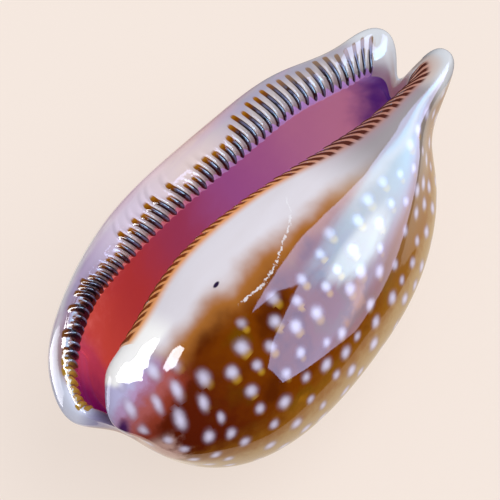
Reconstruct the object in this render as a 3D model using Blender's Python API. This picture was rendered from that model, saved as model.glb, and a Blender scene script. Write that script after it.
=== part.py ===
"""Cowrie shell lying on its back with its mouth up, as one closed solid.

Metres, +X towards the shell's front end, +Y towards the outer lip, +Z up. The origin is on the ground,
under the middle of the shell's box. The shell is one lofted wall: it runs from a small flat spot on the
back, round the body, over the lip, through the mouth and along the inside to the middle again. The
teeth of both lips are ridges raised along that same surface.
"""
import bmesh
import bpy
import numpy as np

NAME = "shell"
MM = 0.001

# Places round the mouth, in millimetres: the widest point of the margin, the top of the lip and the
# edge of the mouth. They run from the front along the outer lip, and back along the inner lip.
MOUTH_PLACES = (
    ("front notch",        (49.3, -5.2, 27.0), (48.6, -5.2, 31.0), (46.3, -5.2, 29.5)),
    ("outer tip, inside",  (53.2, -0.4, 35.0), (51.0, -0.3, 39.6), (45.8, -2.7, 35.5)),
    ("outer tip, outside", (53.4, 2.6, 35.5), (50.4, 2.0, 40.2), (43.9, -1.4, 37.0)),
    ("outer neck",         (43.0, 8.0, 33.0), (41.5, 5.4, 42.0), (38.5, 0.8, 37.6)),
    ("outer lip, front",   (31.0, 15.3, 30.0), (30.0, 11.3, 42.0), (29.0, 5.2, 38.0)),
    ("outer lip, 14",      (14.0, 20.8, 29.0), (13.0, 14.5, 43.0), (13.0, 8.5, 39.0)),
    ("outer lip, middle",  (-6.0, 23.7, 29.0), (-6.0, 18.0, 43.5), (-6.0, 12.0, 39.0)),
    ("outer lip, -25",     (-25.0, 23.6, 29.0), (-25.0, 18.6, 43.5), (-25.0, 14.0, 39.0)),
    ("outer lip, back",    (-42.5, 18.8, 30.0), (-40.0, 15.8, 42.5), (-37.3, 13.6, 38.5)),
    ("outer bend",         (-54.0, 10.5, 33.0), (-51.4, 8.6, 41.0), (-49.6, 7.6, 38.0)),
    ("outer foot",         (-57.7, 2.0, 34.6), (-55.9, 1.7, 39.6), (-53.4, 1.8, 36.5)),
    ("outer foot, inside", (-53.8, -2.9, 31.9), (-54.4, -3.3, 36.4), (-51.7, -2.2, 34.4)),
    ("back notch",         (-51.2, -8.0, 28.0), (-52.2, -8.4, 33.0), (-50.8, -4.4, 32.0)),
    ("inner foot",         (-51.6, -13.8, 29.5), (-55.6, -5.8, 39.3), (-49.8, -1.0, 36.3)),
    ("inner lip, -42",     (-43.5, -24.5, 29.5), (-42.0, -5.5, 45.0), (-42.0, 2.6, 40.5)),
    ("inner lip, -25",     (-27.0, -31.2, 29.0), (-25.0, -5.0, 46.5), (-25.0, 4.0, 43.0)),
    ("inner lip, middle",  (-6.0, -32.4, 29.0), (-5.0, -7.5, 46.5), (-5.0, 1.8, 43.0)),
    ("inner lip, 15",      (15.0, -29.4, 29.0), (14.0, -12.0, 45.5), (14.0, -4.0, 42.0)),
    ("inner lip, front",   (31.0, -23.2, 30.0), (30.0, -15.5, 44.0), (29.0, -8.3, 40.5)),
    ("inner neck",         (43.5, -17.6, 33.0), (41.0, -15.6, 42.8), (38.5, -9.8, 39.5)),
    ("inner tip, outside", (55.2, -14.2, 36.5), (52.2, -14.2, 42.0), (44.5, -10.0, 38.8)),
    ("inner tip, inside",  (55.6, -11.0, 36.0), (52.6, -11.5, 41.2), (46.3, -8.8, 36.5)),
)

# The body below the lips: an egg outline about an upright line, and a dome under it down to the ground.
BODY_CENTRE = (-4.0, -6.5)
BODY_FRONT = 51.5
BODY_BACK = 45.0
BODY_OUTER = 28.5
BODY_INNER = 28.6
SQUARENESS = {"front outer": 2.0, "front inner": 1.94, "back outer": 2.05, "back inner": 2.65}
WIDEST_HEIGHT = 22.5
DOME_FULLNESS = 0.95
DOME_ANGLES = (26, 42, 57, 72)
INNER_DOME_ANGLES = (68, 50, 32)

# The flat spot that the shell rests on lies under its centre of mass.
REST_CENTRE = (-4.0, -5.4)
REST_RADII = (6.0, 4.0)

# The wall, the lips' depths at the mouth, and where the lips pass into the notches at the shell's ends.
WALL = 3.0
MARGIN_WALL = 4.2
OUTER_LIP_DEPTH = 9.0
INNER_LIP_DEPTH = 6.0
END_LIP_DEPTH = 5.0
NOTCH_SLOPE_START = (38.0, 46.0)
NOTCH_MIDDLE_X = -2.0
INSIDE_LIFT = 1.0
INNER_MARGIN_DROP = 1.0

# The mouth's middle line, y = MOUTH_MIDDLE_Y - MOUTH_SLANT x, and how softly one lip gives way to the other.
MOUTH_MIDDLE_Y = 2.0
MOUTH_SLANT = 0.08
LIP_CHANGE = 3.0

# Rounding of the lips: angles of the rings between margin and crest, crest and rim, and inside the margin.
OUTSIDE_ARC = (34, 62)
RIM_ARC = (25, 50)
UNDERSIDE_ARC = (33, 60)

# The two rings under the lip: part of the way out to the margin, part of the lip's depth, and the part
# of the way out that they take at the shell's ends.
UNDER_LIP_RINGS = ((0.02, 0.6, 0.2), (0.12, 1.0, 0.5))

# Teeth: where each row starts and ends, as a place number and the part of the way to the next one.
OUTER_TEETH = 56
OUTER_TEETH_FROM, OUTER_TEETH_TO = 2.0, 10.4
OUTER_TEETH_CROWDING = 0.12
OUTER_TOOTH_HEIGHT = 0.75
INNER_TEETH = 44
INNER_TEETH_FROM, INNER_TEETH_TO = 13.9, 20.0
INNER_TEETH_CROWDING = 0.0
INNER_TOOTH_HEIGHT = 0.6
BACK_COLUMNS = 12
FRONT_COLUMNS = 10
FINE = 4

# Rows of the mesh, in steps of the rings that shape it, from the flat spot to the inside.
DOME_ROWS = (0.0, 0.7, 1.4, 2.2, 3.0, 3.8)
SIDE_ROWS = (4.6, 5.3, 6.0, 6.6, 7.2, 7.9, 8.6)
TOOTH_ROWS = (9.3, 10.0, 10.8, 11.6, 12.4, 13.2)
THROAT_ROWS = (14.0, 15.0, 16.0)
INSIDE_ROWS = (17.0, 18.2, 19.4, 20.6, 22.0)
OUTER_TOOTH_REACH = (9.3, 13.4)
INNER_TOOTH_REACH = (10.4, 13.8)
TOOTH_FULLNESS = 0.6
ROW_STEP = 0.05

SHELL_BROWN = (0.30, 0.14, 0.05, 1.0)
SHELL_ROUGHNESS = 0.15


def smooth_step(value, low, high):
    """0 below low, 1 above high, with a soft change between."""
    t = np.clip((value - low) / (high - low), 0.0, 1.0)
    return t * t * (3.0 - 2.0 * t)


def closed_spline(knots, values, at):
    """Smooth closed curve through the values; one lap is 1."""
    n = len(knots)
    ends = np.append(knots, knots[0] + 1.0)
    step = np.diff(ends)
    around = np.vstack([values, values[:1]])
    slope = np.diff(around, axis=0) / step[:, None]
    matrix = np.zeros((n, n))
    for i in range(n):
        matrix[i, i] += 2.0 * (step[i - 1] + step[i])
        matrix[i, i - 1] += step[i - 1]
        matrix[i, (i + 1) % n] += step[i]
    bend = np.linalg.solve(matrix, 6.0 * (slope - np.roll(slope, 1, axis=0)))
    bend = np.vstack([bend, bend[:1]])
    lap = np.mod(at - knots[0], 1.0) + knots[0]
    i = np.clip(np.searchsorted(ends, lap, side="right") - 1, 0, n - 1)
    u = ((lap - ends[i]) / step[i])[:, None]
    v = 1.0 - u
    curve = (v ** 3 - v) * bend[i] + (u ** 3 - u) * bend[i + 1]
    return v * around[i] + u * around[i + 1] + step[i][:, None] ** 2 / 6.0 * curve


def place_laps():
    """How far round the mouth each place lies, as a part of one lap."""
    middle = np.array([(np.array(margin) + np.array(rim)) / 2.0 for _, margin, _, rim in MOUTH_PLACES])
    step = np.linalg.norm(np.roll(middle, -1, axis=0) - middle, axis=1)
    return np.concatenate([[0.0], np.cumsum(step)[:-1]]) / step.sum()


def body_radius(angle, inset=0.0):
    """Egg outline about the body's centre line: its distance from it in each direction."""
    c, s = np.cos(angle), np.sin(angle)
    along = np.where(c > 0.0, BODY_FRONT, BODY_BACK) - inset
    across = np.where(s > 0.0, BODY_OUTER, BODY_INNER) - inset
    front, outer = 0.5 + 0.5 * c, 0.5 + 0.5 * s
    front_power = outer * SQUARENESS["front outer"] + (1.0 - outer) * SQUARENESS["front inner"]
    back_power = outer * SQUARENESS["back outer"] + (1.0 - outer) * SQUARENESS["back inner"]
    power = front * front_power + (1.0 - front) * back_power
    return (np.abs(c / along) ** power + np.abs(s / across) ** power) ** (-1.0 / power)


def ring(flat_xy, height):
    """One closed ring of points from its plan and its height."""
    return np.column_stack([flat_xy, np.broadcast_to(height, len(flat_xy))])


def arc_rings(start, end, angles):
    """Rings on a quarter ellipse that leaves start upright and meets end level."""
    rings = []
    for psi in np.radians(angles):
        plan = end[:, :2] + (start[:, :2] - end[:, :2]) * np.cos(psi)
        rings.append(ring(plan, start[:, 2] + (end[:, 2] - start[:, 2]) * np.sin(psi)))
    return rings


def shaping_rings(lap):
    """Rings that the surface follows, from the flat spot to the inside, at these laps."""
    knots = place_laps()
    margin, crest, rim = (
        closed_spline(knots, np.array([place[k] for place in MOUTH_PLACES], float), lap) for k in (1, 2, 3))
    centre = np.array(BODY_CENTRE)
    angle = np.arctan2(margin[:, 1] - centre[1], margin[:, 0] - centre[0])
    direction = np.stack([np.cos(angle), np.sin(angle)], axis=-1)
    radius = body_radius(angle)
    body = direction * radius[:, None]
    inner_body = direction * body_radius(angle, WALL)[:, None]
    spot = np.array(REST_CENTRE) + direction * np.array(REST_RADII)

    rings = [ring(spot, 0.0)]
    for phi in np.radians(DOME_ANGLES):
        rings.append(ring(centre + body * np.sin(phi) ** DOME_FULLNESS, WIDEST_HEIGHT * (1.0 - np.cos(phi))))
    rings.append(ring(centre + body, WIDEST_HEIGHT))
    rings.append(margin)
    rings += arc_rings(margin, crest, OUTSIDE_ARC)
    rings.append(crest)
    rings += reversed(arc_rings(rim, crest, RIM_ARC))
    rings.append(rim)

    at_end = smooth_step(np.abs(rim[:, 0] - NOTCH_MIDDLE_X), *NOTCH_SLOPE_START)[:, None]
    past_middle = rim[:, 1] + MOUTH_SLANT * rim[:, 0] - MOUTH_MIDDLE_Y
    outer = 0.5 + 0.5 * np.tanh(past_middle / LIP_CHANGE)
    depth = INNER_LIP_DEPTH + (OUTER_LIP_DEPTH - INNER_LIP_DEPTH) * outer
    under = (1.0 - at_end[:, 0]) * (crest[:, 2] - depth) + at_end[:, 0] * (rim[:, 2] - END_LIP_DEPTH)
    inside = ring(centre + inner_body, WIDEST_HEIGHT + INSIDE_LIFT)
    inward = (body_radius(angle, MARGIN_WALL) / radius)[:, None]
    inner_margin = ring(centre + (margin[:, :2] - centre) * inward, margin[:, 2] - INNER_MARGIN_DROP)
    inner_margin = (1.0 - at_end) * inner_margin + at_end * (rim + inside) / 2.0
    away = inner_margin - rim
    for out, down, out_at_end in UNDER_LIP_RINGS:
        part = (1.0 - at_end) * out + at_end * out_at_end
        rings.append(ring((rim + away * part)[:, :2], rim[:, 2] + (under - rim[:, 2]) * down))
    rings += reversed(arc_rings(inner_margin, rings[-1], UNDERSIDE_ARC))
    rings += [inner_margin, inside]
    for phi in np.radians(INNER_DOME_ANGLES):
        rise = (inside[0, 2] - WALL) * (1.0 - np.cos(phi))
        rings.append(ring(centre + inner_body * np.sin(phi) ** DOME_FULLNESS, WALL + rise))
    rings.append(ring(spot, WALL))
    return np.array(rings)


def along_rings(rings, row):
    """Points at one row of a smooth curve that follows the rings."""
    last = len(rings) - 1
    start = min(int(row), last - 1)
    u = row - start
    before = rings[start - 1] if start > 0 else 2.0 * rings[0] - rings[1]
    after = rings[start + 2] if start + 2 <= last else 2.0 * rings[last] - rings[last - 1]
    weights = ((1.0 - u) ** 3, 3.0 * u ** 3 - 6.0 * u ** 2 + 4.0,
               -3.0 * u ** 3 + 3.0 * u ** 2 + 3.0 * u + 1.0, u ** 3)
    points = (before, rings[start], rings[start + 1], after)
    return sum(weight * point for weight, point in zip(weights, points)) / 6.0


def lap_of(place_number):
    """The lap at a place number, with a part of the way to the next place."""
    knots = np.append(place_laps(), 1.0)
    return float(np.interp(place_number, np.arange(len(knots)), knots))


def tooth_edges(first, last, count, crowding):
    """Laps of the gaps between teeth; crowding draws them together towards the end of the row."""
    t = np.arange(count + 1) / count
    return lap_of(first) + (lap_of(last) - lap_of(first)) * (t + crowding * t * (1.0 - t))


def column_laps():
    """Laps of the fine columns, FINE to a tooth, and what kind of column each is."""
    outer = tooth_edges(OUTER_TEETH_FROM, OUTER_TEETH_TO, OUTER_TEETH, OUTER_TEETH_CROWDING)
    inner = tooth_edges(INNER_TEETH_FROM, INNER_TEETH_TO, INNER_TEETH, INNER_TEETH_CROWDING)
    back = np.linspace(outer[-1], inner[0], BACK_COLUMNS + 1)
    front = np.linspace(inner[-1], outer[0] + 1.0, FRONT_COLUMNS + 1)
    edges = np.concatenate([outer[:-1], back[:-1], inner[:-1], front])
    fine = np.interp(np.arange(FINE * (len(edges) - 1)) / FINE, np.arange(len(edges)), edges)
    kinds = (["outer"] * OUTER_TEETH + ["back"] * BACK_COLUMNS
             + ["inner"] * INNER_TEETH + ["front"] * FRONT_COLUMNS)
    return fine, np.repeat(kinds, FINE)


def tooth_lift(kinds, row):
    """How far the teeth rise above one row, column by column."""
    phase = (np.arange(len(kinds)) % FINE) / FINE
    ridge = 0.5 - 0.5 * np.cos(2.0 * np.pi * phase)
    lift = np.zeros(len(kinds))
    for kind, height, reach in (("outer", OUTER_TOOTH_HEIGHT, OUTER_TOOTH_REACH),
                                ("inner", INNER_TOOTH_HEIGHT, INNER_TOOTH_REACH)):
        part = np.clip((row - reach[0]) / (reach[1] - reach[0]), 0.0, 1.0)
        lift += (kinds == kind) * height * np.sin(np.pi * part) ** TOOTH_FULLNESS
    return lift * ridge


def outward(rings, row):
    """Directions out of the surface along one row."""
    along = along_rings(rings, row + ROW_STEP) - along_rings(rings, row - ROW_STEP)
    here = along_rings(rings, row)
    around = np.roll(here, -1, axis=0) - np.roll(here, 1, axis=0)
    normal = np.cross(around, along)
    return normal / np.linalg.norm(normal, axis=1, keepdims=True)


def mesh_rows():
    """Rows of points from the flat spot to the inside: half as many columns on the domes, one column
    for each tooth on the sides, and FINE columns for each tooth on the lip."""
    laps, kinds = column_laps()
    fine = shaping_rings(laps)
    coarse = fine[:, ::FINE]
    domes = coarse[:, ::2]
    rows = [along_rings(domes, row) for row in DOME_ROWS]
    rows += [along_rings(coarse, row) for row in SIDE_ROWS]
    rows += [along_rings(fine, row) + outward(fine, row) * tooth_lift(kinds, row)[:, None]
             for row in TOOTH_ROWS]
    rows += [along_rings(coarse, row) for row in THROAT_ROWS]
    rows += [along_rings(domes, row) for row in INSIDE_ROWS]
    return rows


def join_rows(bm, low, high):
    """Faces between two rows, of which one may have several times the other's columns."""
    if len(low) == len(high):
        for j in range(len(low)):
            k = (j + 1) % len(low)
            bm.faces.new((low[j], low[k], high[k], high[j]))
        return
    few, many, flip = (low, high, False) if len(low) < len(high) else (high, low, True)
    ratio = len(many) // len(few)
    for j in range(len(few)):
        k = (j + 1) % len(few)
        span = [many[(j * ratio + i) % len(many)] for i in range(ratio + 1)]
        half = (ratio + 1) // 2
        fans = [(few[j], span[i + 1], span[i]) for i in range(half)]
        fans.append((few[j], few[k], span[half]))
        fans += [(few[k], span[i + 1], span[i]) for i in range(half, ratio)]
        for face in fans:
            bm.faces.new(reversed(face) if flip else face)


def build_shell():
    """The shell's mesh, in metres about the middle of its own box."""
    rows = mesh_rows()
    points = np.vstack(rows)
    middle = (points.min(axis=0) + points.max(axis=0)) / 2.0
    middle[2] = 0.0
    bm = bmesh.new()
    rings = [[bm.verts.new((point - middle) * MM) for point in row] for row in rows]
    for low, high in zip(rings, rings[1:]):
        join_rows(bm, low, high)
    bm.faces.new(reversed(rings[0]))
    bm.faces.new(rings[-1])
    for face in bm.faces:
        face.smooth = True
    bmesh.ops.recalc_face_normals(bm, faces=bm.faces)
    mesh = bpy.data.meshes.new(NAME)
    bm.to_mesh(mesh)
    bm.free()
    return mesh


def glossy_brown():
    """Plain glossy brown for the whole shell."""
    material = bpy.data.materials.new("glossy brown shell")
    material.use_nodes = True
    shader = material.node_tree.nodes["Principled BSDF"]
    shader.inputs["Base Color"].default_value = SHELL_BROWN
    shader.inputs["Roughness"].default_value = SHELL_ROUGHNESS
    shader.inputs["Metallic"].default_value = 0.0
    return material


for old in list(bpy.data.objects):
    bpy.data.objects.remove(old)

collection = bpy.data.collections.new("cowrie_shell")
bpy.context.scene.collection.children.link(collection)
shell = bpy.data.objects.new(NAME, build_shell())
shell.data.materials.append(glossy_brown())
collection.objects.link(shell)
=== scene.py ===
"""Large glossy cowrie shell lying on its back: its surface, teeth, spots and colours, and its stage.

Metres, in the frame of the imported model: +X towards the two horns at the front end, +Y towards the
outer lip, +Z up, out of the mouth. The shell's places are named in millimetres.
"""

import math

import bpy
import numpy as np
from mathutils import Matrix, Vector


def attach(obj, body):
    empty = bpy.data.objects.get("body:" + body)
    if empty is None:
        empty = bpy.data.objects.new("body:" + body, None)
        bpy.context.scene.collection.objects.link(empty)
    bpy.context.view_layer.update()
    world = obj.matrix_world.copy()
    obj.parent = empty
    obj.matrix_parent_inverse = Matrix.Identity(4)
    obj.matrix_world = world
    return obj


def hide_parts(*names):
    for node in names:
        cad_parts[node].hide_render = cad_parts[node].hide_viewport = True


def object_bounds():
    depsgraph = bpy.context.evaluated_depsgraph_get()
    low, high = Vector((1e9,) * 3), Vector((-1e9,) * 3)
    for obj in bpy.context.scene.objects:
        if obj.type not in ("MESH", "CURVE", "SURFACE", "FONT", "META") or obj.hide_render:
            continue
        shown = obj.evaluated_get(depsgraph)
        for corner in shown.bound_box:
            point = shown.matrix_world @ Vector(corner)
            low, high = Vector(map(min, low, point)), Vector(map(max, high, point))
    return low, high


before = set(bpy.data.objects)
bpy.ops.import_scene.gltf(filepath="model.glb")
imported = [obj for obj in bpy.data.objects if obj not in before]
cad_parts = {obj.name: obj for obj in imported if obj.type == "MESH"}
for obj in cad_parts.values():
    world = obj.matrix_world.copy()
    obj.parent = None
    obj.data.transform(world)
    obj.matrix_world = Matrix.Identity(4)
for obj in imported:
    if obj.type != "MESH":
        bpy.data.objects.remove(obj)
CAD_LOW, CAD_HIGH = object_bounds()

bl_info = {
    "name": "Cowrie shell",
    "version": (1, 0, 0),
    "blender": (4, 5, 0),
    "location": "3D View > Sidebar > Cowrie",
    "description": "Grows a spotted cowrie shell with its toothed mouth, and sets it on a pale stage",
    "category": "Add Mesh",
}

MM = 0.001

# Places round the mouth, in millimetres: the widest point of the margin, the top of the lip and the
# edge of the mouth. They run from the front along the outer lip, and back along the inner lip.
MOUTH_PLACES = (
    ("front notch",        (49.3, -5.2, 27.0), (48.6, -5.2, 31.0), (46.3, -5.2, 29.5)),
    ("outer tip, inside",  (53.2, -0.4, 35.0), (51.0, -0.3, 39.6), (45.8, -2.7, 35.5)),
    ("outer tip, outside", (53.4, 2.6, 35.5), (50.4, 2.0, 40.2), (43.9, -1.4, 37.0)),
    ("outer neck",         (43.0, 8.0, 33.0), (41.5, 5.4, 42.0), (38.5, 0.8, 37.6)),
    ("outer lip, front",   (31.0, 15.3, 30.0), (30.0, 11.3, 42.0), (29.0, 5.2, 38.0)),
    ("outer lip, 14",      (14.0, 20.8, 29.0), (13.0, 14.5, 43.0), (13.0, 8.5, 39.0)),
    ("outer lip, middle",  (-6.0, 23.7, 29.0), (-6.0, 18.0, 43.5), (-6.0, 12.0, 39.0)),
    ("outer lip, -25",     (-25.0, 23.6, 29.0), (-25.0, 18.6, 43.5), (-25.0, 14.0, 39.0)),
    ("outer lip, back",    (-42.5, 18.8, 30.0), (-40.0, 15.8, 42.5), (-37.3, 13.6, 38.5)),
    ("outer bend",         (-54.0, 10.5, 33.0), (-51.4, 8.6, 41.0), (-49.6, 7.6, 38.0)),
    ("outer foot",         (-57.7, 2.0, 34.6), (-55.9, 1.7, 39.6), (-53.4, 1.8, 36.5)),
    ("outer foot, inside", (-53.8, -2.9, 31.9), (-54.4, -3.3, 36.4), (-51.7, -2.2, 34.4)),
    ("back notch",         (-51.2, -8.0, 28.0), (-52.2, -8.4, 33.0), (-50.8, -4.4, 32.0)),
    ("inner foot",         (-51.6, -13.8, 29.5), (-55.6, -5.8, 39.3), (-49.8, -1.0, 36.3)),
    ("inner lip, -42",     (-43.5, -24.5, 29.5), (-42.0, -5.5, 45.0), (-42.0, 2.6, 40.5)),
    ("inner lip, -25",     (-27.0, -31.2, 29.0), (-25.0, -5.0, 46.5), (-25.0, 4.0, 43.0)),
    ("inner lip, middle",  (-6.0, -32.4, 29.0), (-5.0, -7.5, 46.5), (-5.0, 1.8, 43.0)),
    ("inner lip, 15",      (15.0, -29.4, 29.0), (14.0, -12.0, 45.5), (14.0, -4.0, 42.0)),
    ("inner lip, front",   (31.0, -23.2, 30.0), (30.0, -15.5, 44.0), (29.0, -8.3, 40.5)),
    ("inner neck",         (43.5, -17.6, 33.0), (41.0, -15.6, 42.8), (38.5, -9.8, 39.5)),
    ("inner tip, outside", (55.2, -14.2, 36.5), (52.2, -14.2, 42.0), (44.5, -10.0, 38.8)),
    ("inner tip, inside",  (55.6, -11.0, 36.0), (52.6, -11.5, 41.2), (46.3, -8.8, 36.5)),
)

# The body below the lips: an egg outline about an upright line, and a dome under it down to the ground.
BODY_CENTRE = (-4.0, -6.5)
BODY_FRONT = 51.5
BODY_BACK = 45.0
BODY_OUTER = 28.5
BODY_INNER = 28.6
SQUARENESS = {"front outer": 2.0, "front inner": 1.94, "back outer": 2.05, "back inner": 2.65}
WIDEST_HEIGHT = 22.5
DOME_FULLNESS = 0.95
DOME_ANGLES = (26, 42, 57, 72)
INNER_DOME_ANGLES = (68, 50, 32)
REST_CENTRE = (-4.0, -5.4)
REST_RADII = (6.0, 4.0)

# The wall, the lips' depths at the mouth, and where the lips pass into the notches at the shell's ends.
WALL = 3.0
MARGIN_WALL = 4.2
OUTER_LIP_DEPTH = 9.0
INNER_LIP_DEPTH = 6.0
END_LIP_DEPTH = 5.0
NOTCH_SLOPE_START = (38.0, 46.0)
NOTCH_MIDDLE_X = -2.0
INSIDE_LIFT = 1.0
INNER_MARGIN_DROP = 1.0

# The mouth's middle line, y = MOUTH_MIDDLE_Y - MOUTH_SLANT x, and how softly one lip gives way to the other.
MOUTH_MIDDLE_Y = 2.0
MOUTH_SLANT = 0.08
LIP_CHANGE = 3.0

# Rounding of the lips: angles of the rings between margin and crest, crest and rim, and inside the margin.
OUTSIDE_ARC = (34, 62)
RIM_ARC = (25, 50)
UNDERSIDE_ARC = (33, 60)
UNDER_LIP_RINGS = ((0.02, 0.6, 0.2), (0.12, 1.0, 0.5))

# Teeth: how many, and where each row starts and ends, as a place number and part of the way to the next.
OUTER_TEETH = 56
OUTER_TEETH_FROM, OUTER_TEETH_TO = 2.0, 10.4
OUTER_TEETH_CROWDING = 0.12
INNER_TEETH = 44
INNER_TEETH_FROM, INNER_TEETH_TO = 13.9, 20.0
BACK_COLUMNS = 12
FRONT_COLUMNS = 10
OUTER_TOOTH_REACH = (8.6, 13.2)
INNER_TOOTH_REACH = (9.8, 13.6)

# Bands of the mesh: first row, last row, how many rows, and how many columns stand in one tooth's width.
FINE = 12
BANDS = (
    (0.0, 1.8, 7, 1),
    (2.1, 4.0, 12, 2),
    (4.15, 8.05, 34, 4),
    (8.2, 13.9, 36, FINE),
    (14.05, 16.8, 18, 4),
    (17.1, 22.0, 17, 2),
)

# How far the teeth slant, in widths of a tooth for each row. The inner ones lean to the front as they leave
# the mouth's edge, and the outer ones lean to the back where the lip is broad, between these places.
INNER_LEAN = 0.8
INNER_LEAN_ROWS = (10.2, 12.8)
OUTER_LEAN = 0.42
OUTER_LEAN_ROWS = (9.9, 12.9)
OUTER_LEAN_PLACES = (4.9, 6.1, 7.2, 8.0)
LEAN_FADE_ROWS = (8.2, 9.6)

# The outer teeth sink to this part of their height between these places, in millimetres.
FOOT_TOOTH_HEIGHT = 0.45
FOOT_TEETH_FROM, FOOT_TEETH_TO = -44.0, -50.0

# The row where the mouth's colour starts in the notches.
END_EDGE_ROW = 12.9

# The highest rows with spots: outer side, inner side, and inner side behind a place, in millimetres.
OUTER_SPOTTED_ROW = 6.7
INNER_SPOTTED_ROW = 8.2
END_SPOTTED_ROW = 9.6
SPOTTED_END = -37.0
SPOTS_DENSEST = 200000.0

# The enamel: its polish, its faint ripple, and how brightly the mouth's colour glows by itself, a painted
# glow for the light inside the mouth.
ENAMEL_ROUGHNESS = 0.04
RIPPLE_HEIGHT = 0.0002
MOUTH_GLOW = 0.4

# The photo's camera: where it looks, from where, and how wide a strip it takes in at that distance.
LOOK_AT = (0.0009, 0.0054, 0.022)
CAMERA_AZIMUTH = -55.8
CAMERA_ELEVATION = 60.0
CAMERA_DISTANCE = 0.42
VIEW_WIDTH = 0.1045
SENSOR = 36.0

# Light: the even light from all round, the broad one and where it comes from, and the floor's own.
AIR_LIGHT = 0.62
BROAD_LIGHT = 1.6
BROAD_LIGHT_FROM = (-41.0, 52.0)
FLOOR_TONE = (0.913, 0.807, 0.738, 1.0)
FLOOR_MATT = 0.25
FLOOR_GLOW = 0.75
FLOOR_HALF = 3.0

# Cards that only the gloss shows. An upright card stands at an azimuth and a distance, and its outline
# is given by steps along it and up.
SCREEN_AZIMUTH = -50.0
SCREEN_DISTANCE = 85.0
SCREEN_OUTLINE = (
    (36, 1), (-38, 1), (-60, 17), (-95, 42), (-97, 108), (-67, 138), (-28, 150), (-13, 158), (-1, 206),
    (-13, 267), (49, 230), (44, 190), (41, 150), (80, 140), (119, 158), (60, 70), (38, 48))
SCREEN_GLOW = (4.2, 4.8, 8.0)
SCREEN_HEARTS = (
    ((14, 96), (38, 70), (6.2, 11.5, 16.5)),
    ((-15, 76), (15, 38), (13.5, 18.5, 22.5)),
    ((-10, -8), (80, 32), (2.2, 2.0, 3.0)))
WINDOW_HEIGHT = 56.0
WINDOW_PANES = (
    ((-32.1, 6.9), (-32, 10), (-32.5, 12), (-33.2, 14.5), (-34.2, 13.2), (-35.9, 13.3), (-36.8, 14.5),
     (-35.5, 19), (-44, 20), (-46.1, 13.1), (-44.3, 4.5), (-42.7, 2.9), (-41.5, 0.1), (-38.2, 3.6),
     (-37.5, 2.4), (-35.3, 5.3), (-33.6, 5.9)),
    ((-36.4, -2.3), (-34.1, -0.9), (-32.7, -0.5), (-31.6, -1.5), (-31.8, -3.4), (-33.7, -4.3), (-35.0, -5.3),
     (-36.8, -4.3)))
WINDOW_GLOWS = ((26.0, 26.0, 27.0), (17.0, 19.0, 21.0))
LOW_CARD = ((-85, 48, 2), (-46, 52, 2), (-46, 52, 60), (-85, 48, 60))
LOW_GLOW = (4.0, 4.0, 4.4)
GROUND_GLOW_MIDDLE = (8.0, 0.0)
GROUND_GLOW_RADIUS = 73.0
GROUND_GLOW = (0.8, 0.7, 0.6)


def paint(red, green, blue):
    """A screen colour, 0 to 255, as the linear colour that the nodes use."""
    parts = []
    for value in (red, green, blue):
        value /= 255.0
        parts.append(value / 12.92 if value <= 0.04045 else ((value + 0.055) / 1.055) ** 2.4)
    return (*parts, 1.0)


def smooth_step(value, low, high):
    """0 below low, 1 above high, with a soft change between."""
    t = np.clip((value - low) / (high - low), 0.0, 1.0)
    return t * t * (3.0 - 2.0 * t)


# Shape of the shell

def closed_spline(knots, values, at):
    """Smooth closed curve through the values; one lap is 1."""
    n = len(knots)
    ends = np.append(knots, knots[0] + 1.0)
    step = np.diff(ends)
    around = np.vstack([values, values[:1]])
    slope = np.diff(around, axis=0) / step[:, None]
    matrix = np.zeros((n, n))
    for i in range(n):
        matrix[i, i] += 2.0 * (step[i - 1] + step[i])
        matrix[i, i - 1] += step[i - 1]
        matrix[i, (i + 1) % n] += step[i]
    bend = np.linalg.solve(matrix, 6.0 * (slope - np.roll(slope, 1, axis=0)))
    bend = np.vstack([bend, bend[:1]])
    lap = np.mod(at - knots[0], 1.0) + knots[0]
    i = np.clip(np.searchsorted(ends, lap, side="right") - 1, 0, n - 1)
    u = ((lap - ends[i]) / step[i])[:, None]
    v = 1.0 - u
    curve = (v ** 3 - v) * bend[i] + (u ** 3 - u) * bend[i + 1]
    return v * around[i] + u * around[i + 1] + step[i][:, None] ** 2 / 6.0 * curve


def place_laps():
    """How far round the mouth each place lies, as a part of one lap."""
    middle = np.array([(np.array(margin) + np.array(rim)) / 2.0 for _, margin, _, rim in MOUTH_PLACES])
    step = np.linalg.norm(np.roll(middle, -1, axis=0) - middle, axis=1)
    return np.concatenate([[0.0], np.cumsum(step)[:-1]]) / step.sum()


def body_radius(angle, inset=0.0):
    """Egg outline about the body's centre line: its distance from it in each direction."""
    c, s = np.cos(angle), np.sin(angle)
    along = np.where(c > 0.0, BODY_FRONT, BODY_BACK) - inset
    across = np.where(s > 0.0, BODY_OUTER, BODY_INNER) - inset
    front, outer = 0.5 + 0.5 * c, 0.5 + 0.5 * s
    front_power = outer * SQUARENESS["front outer"] + (1.0 - outer) * SQUARENESS["front inner"]
    back_power = outer * SQUARENESS["back outer"] + (1.0 - outer) * SQUARENESS["back inner"]
    power = front * front_power + (1.0 - front) * back_power
    return (np.abs(c / along) ** power + np.abs(s / across) ** power) ** (-1.0 / power)


def ring(flat_xy, height):
    """One closed ring of points from its plan and its height."""
    return np.column_stack([flat_xy, np.broadcast_to(height, len(flat_xy))])


def arc_rings(start, end, angles):
    """Rings on a quarter ellipse that leaves start upright and meets end level."""
    rings = []
    for psi in np.radians(angles):
        plan = end[:, :2] + (start[:, :2] - end[:, :2]) * np.cos(psi)
        rings.append(ring(plan, start[:, 2] + (end[:, 2] - start[:, 2]) * np.sin(psi)))
    return rings


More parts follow.
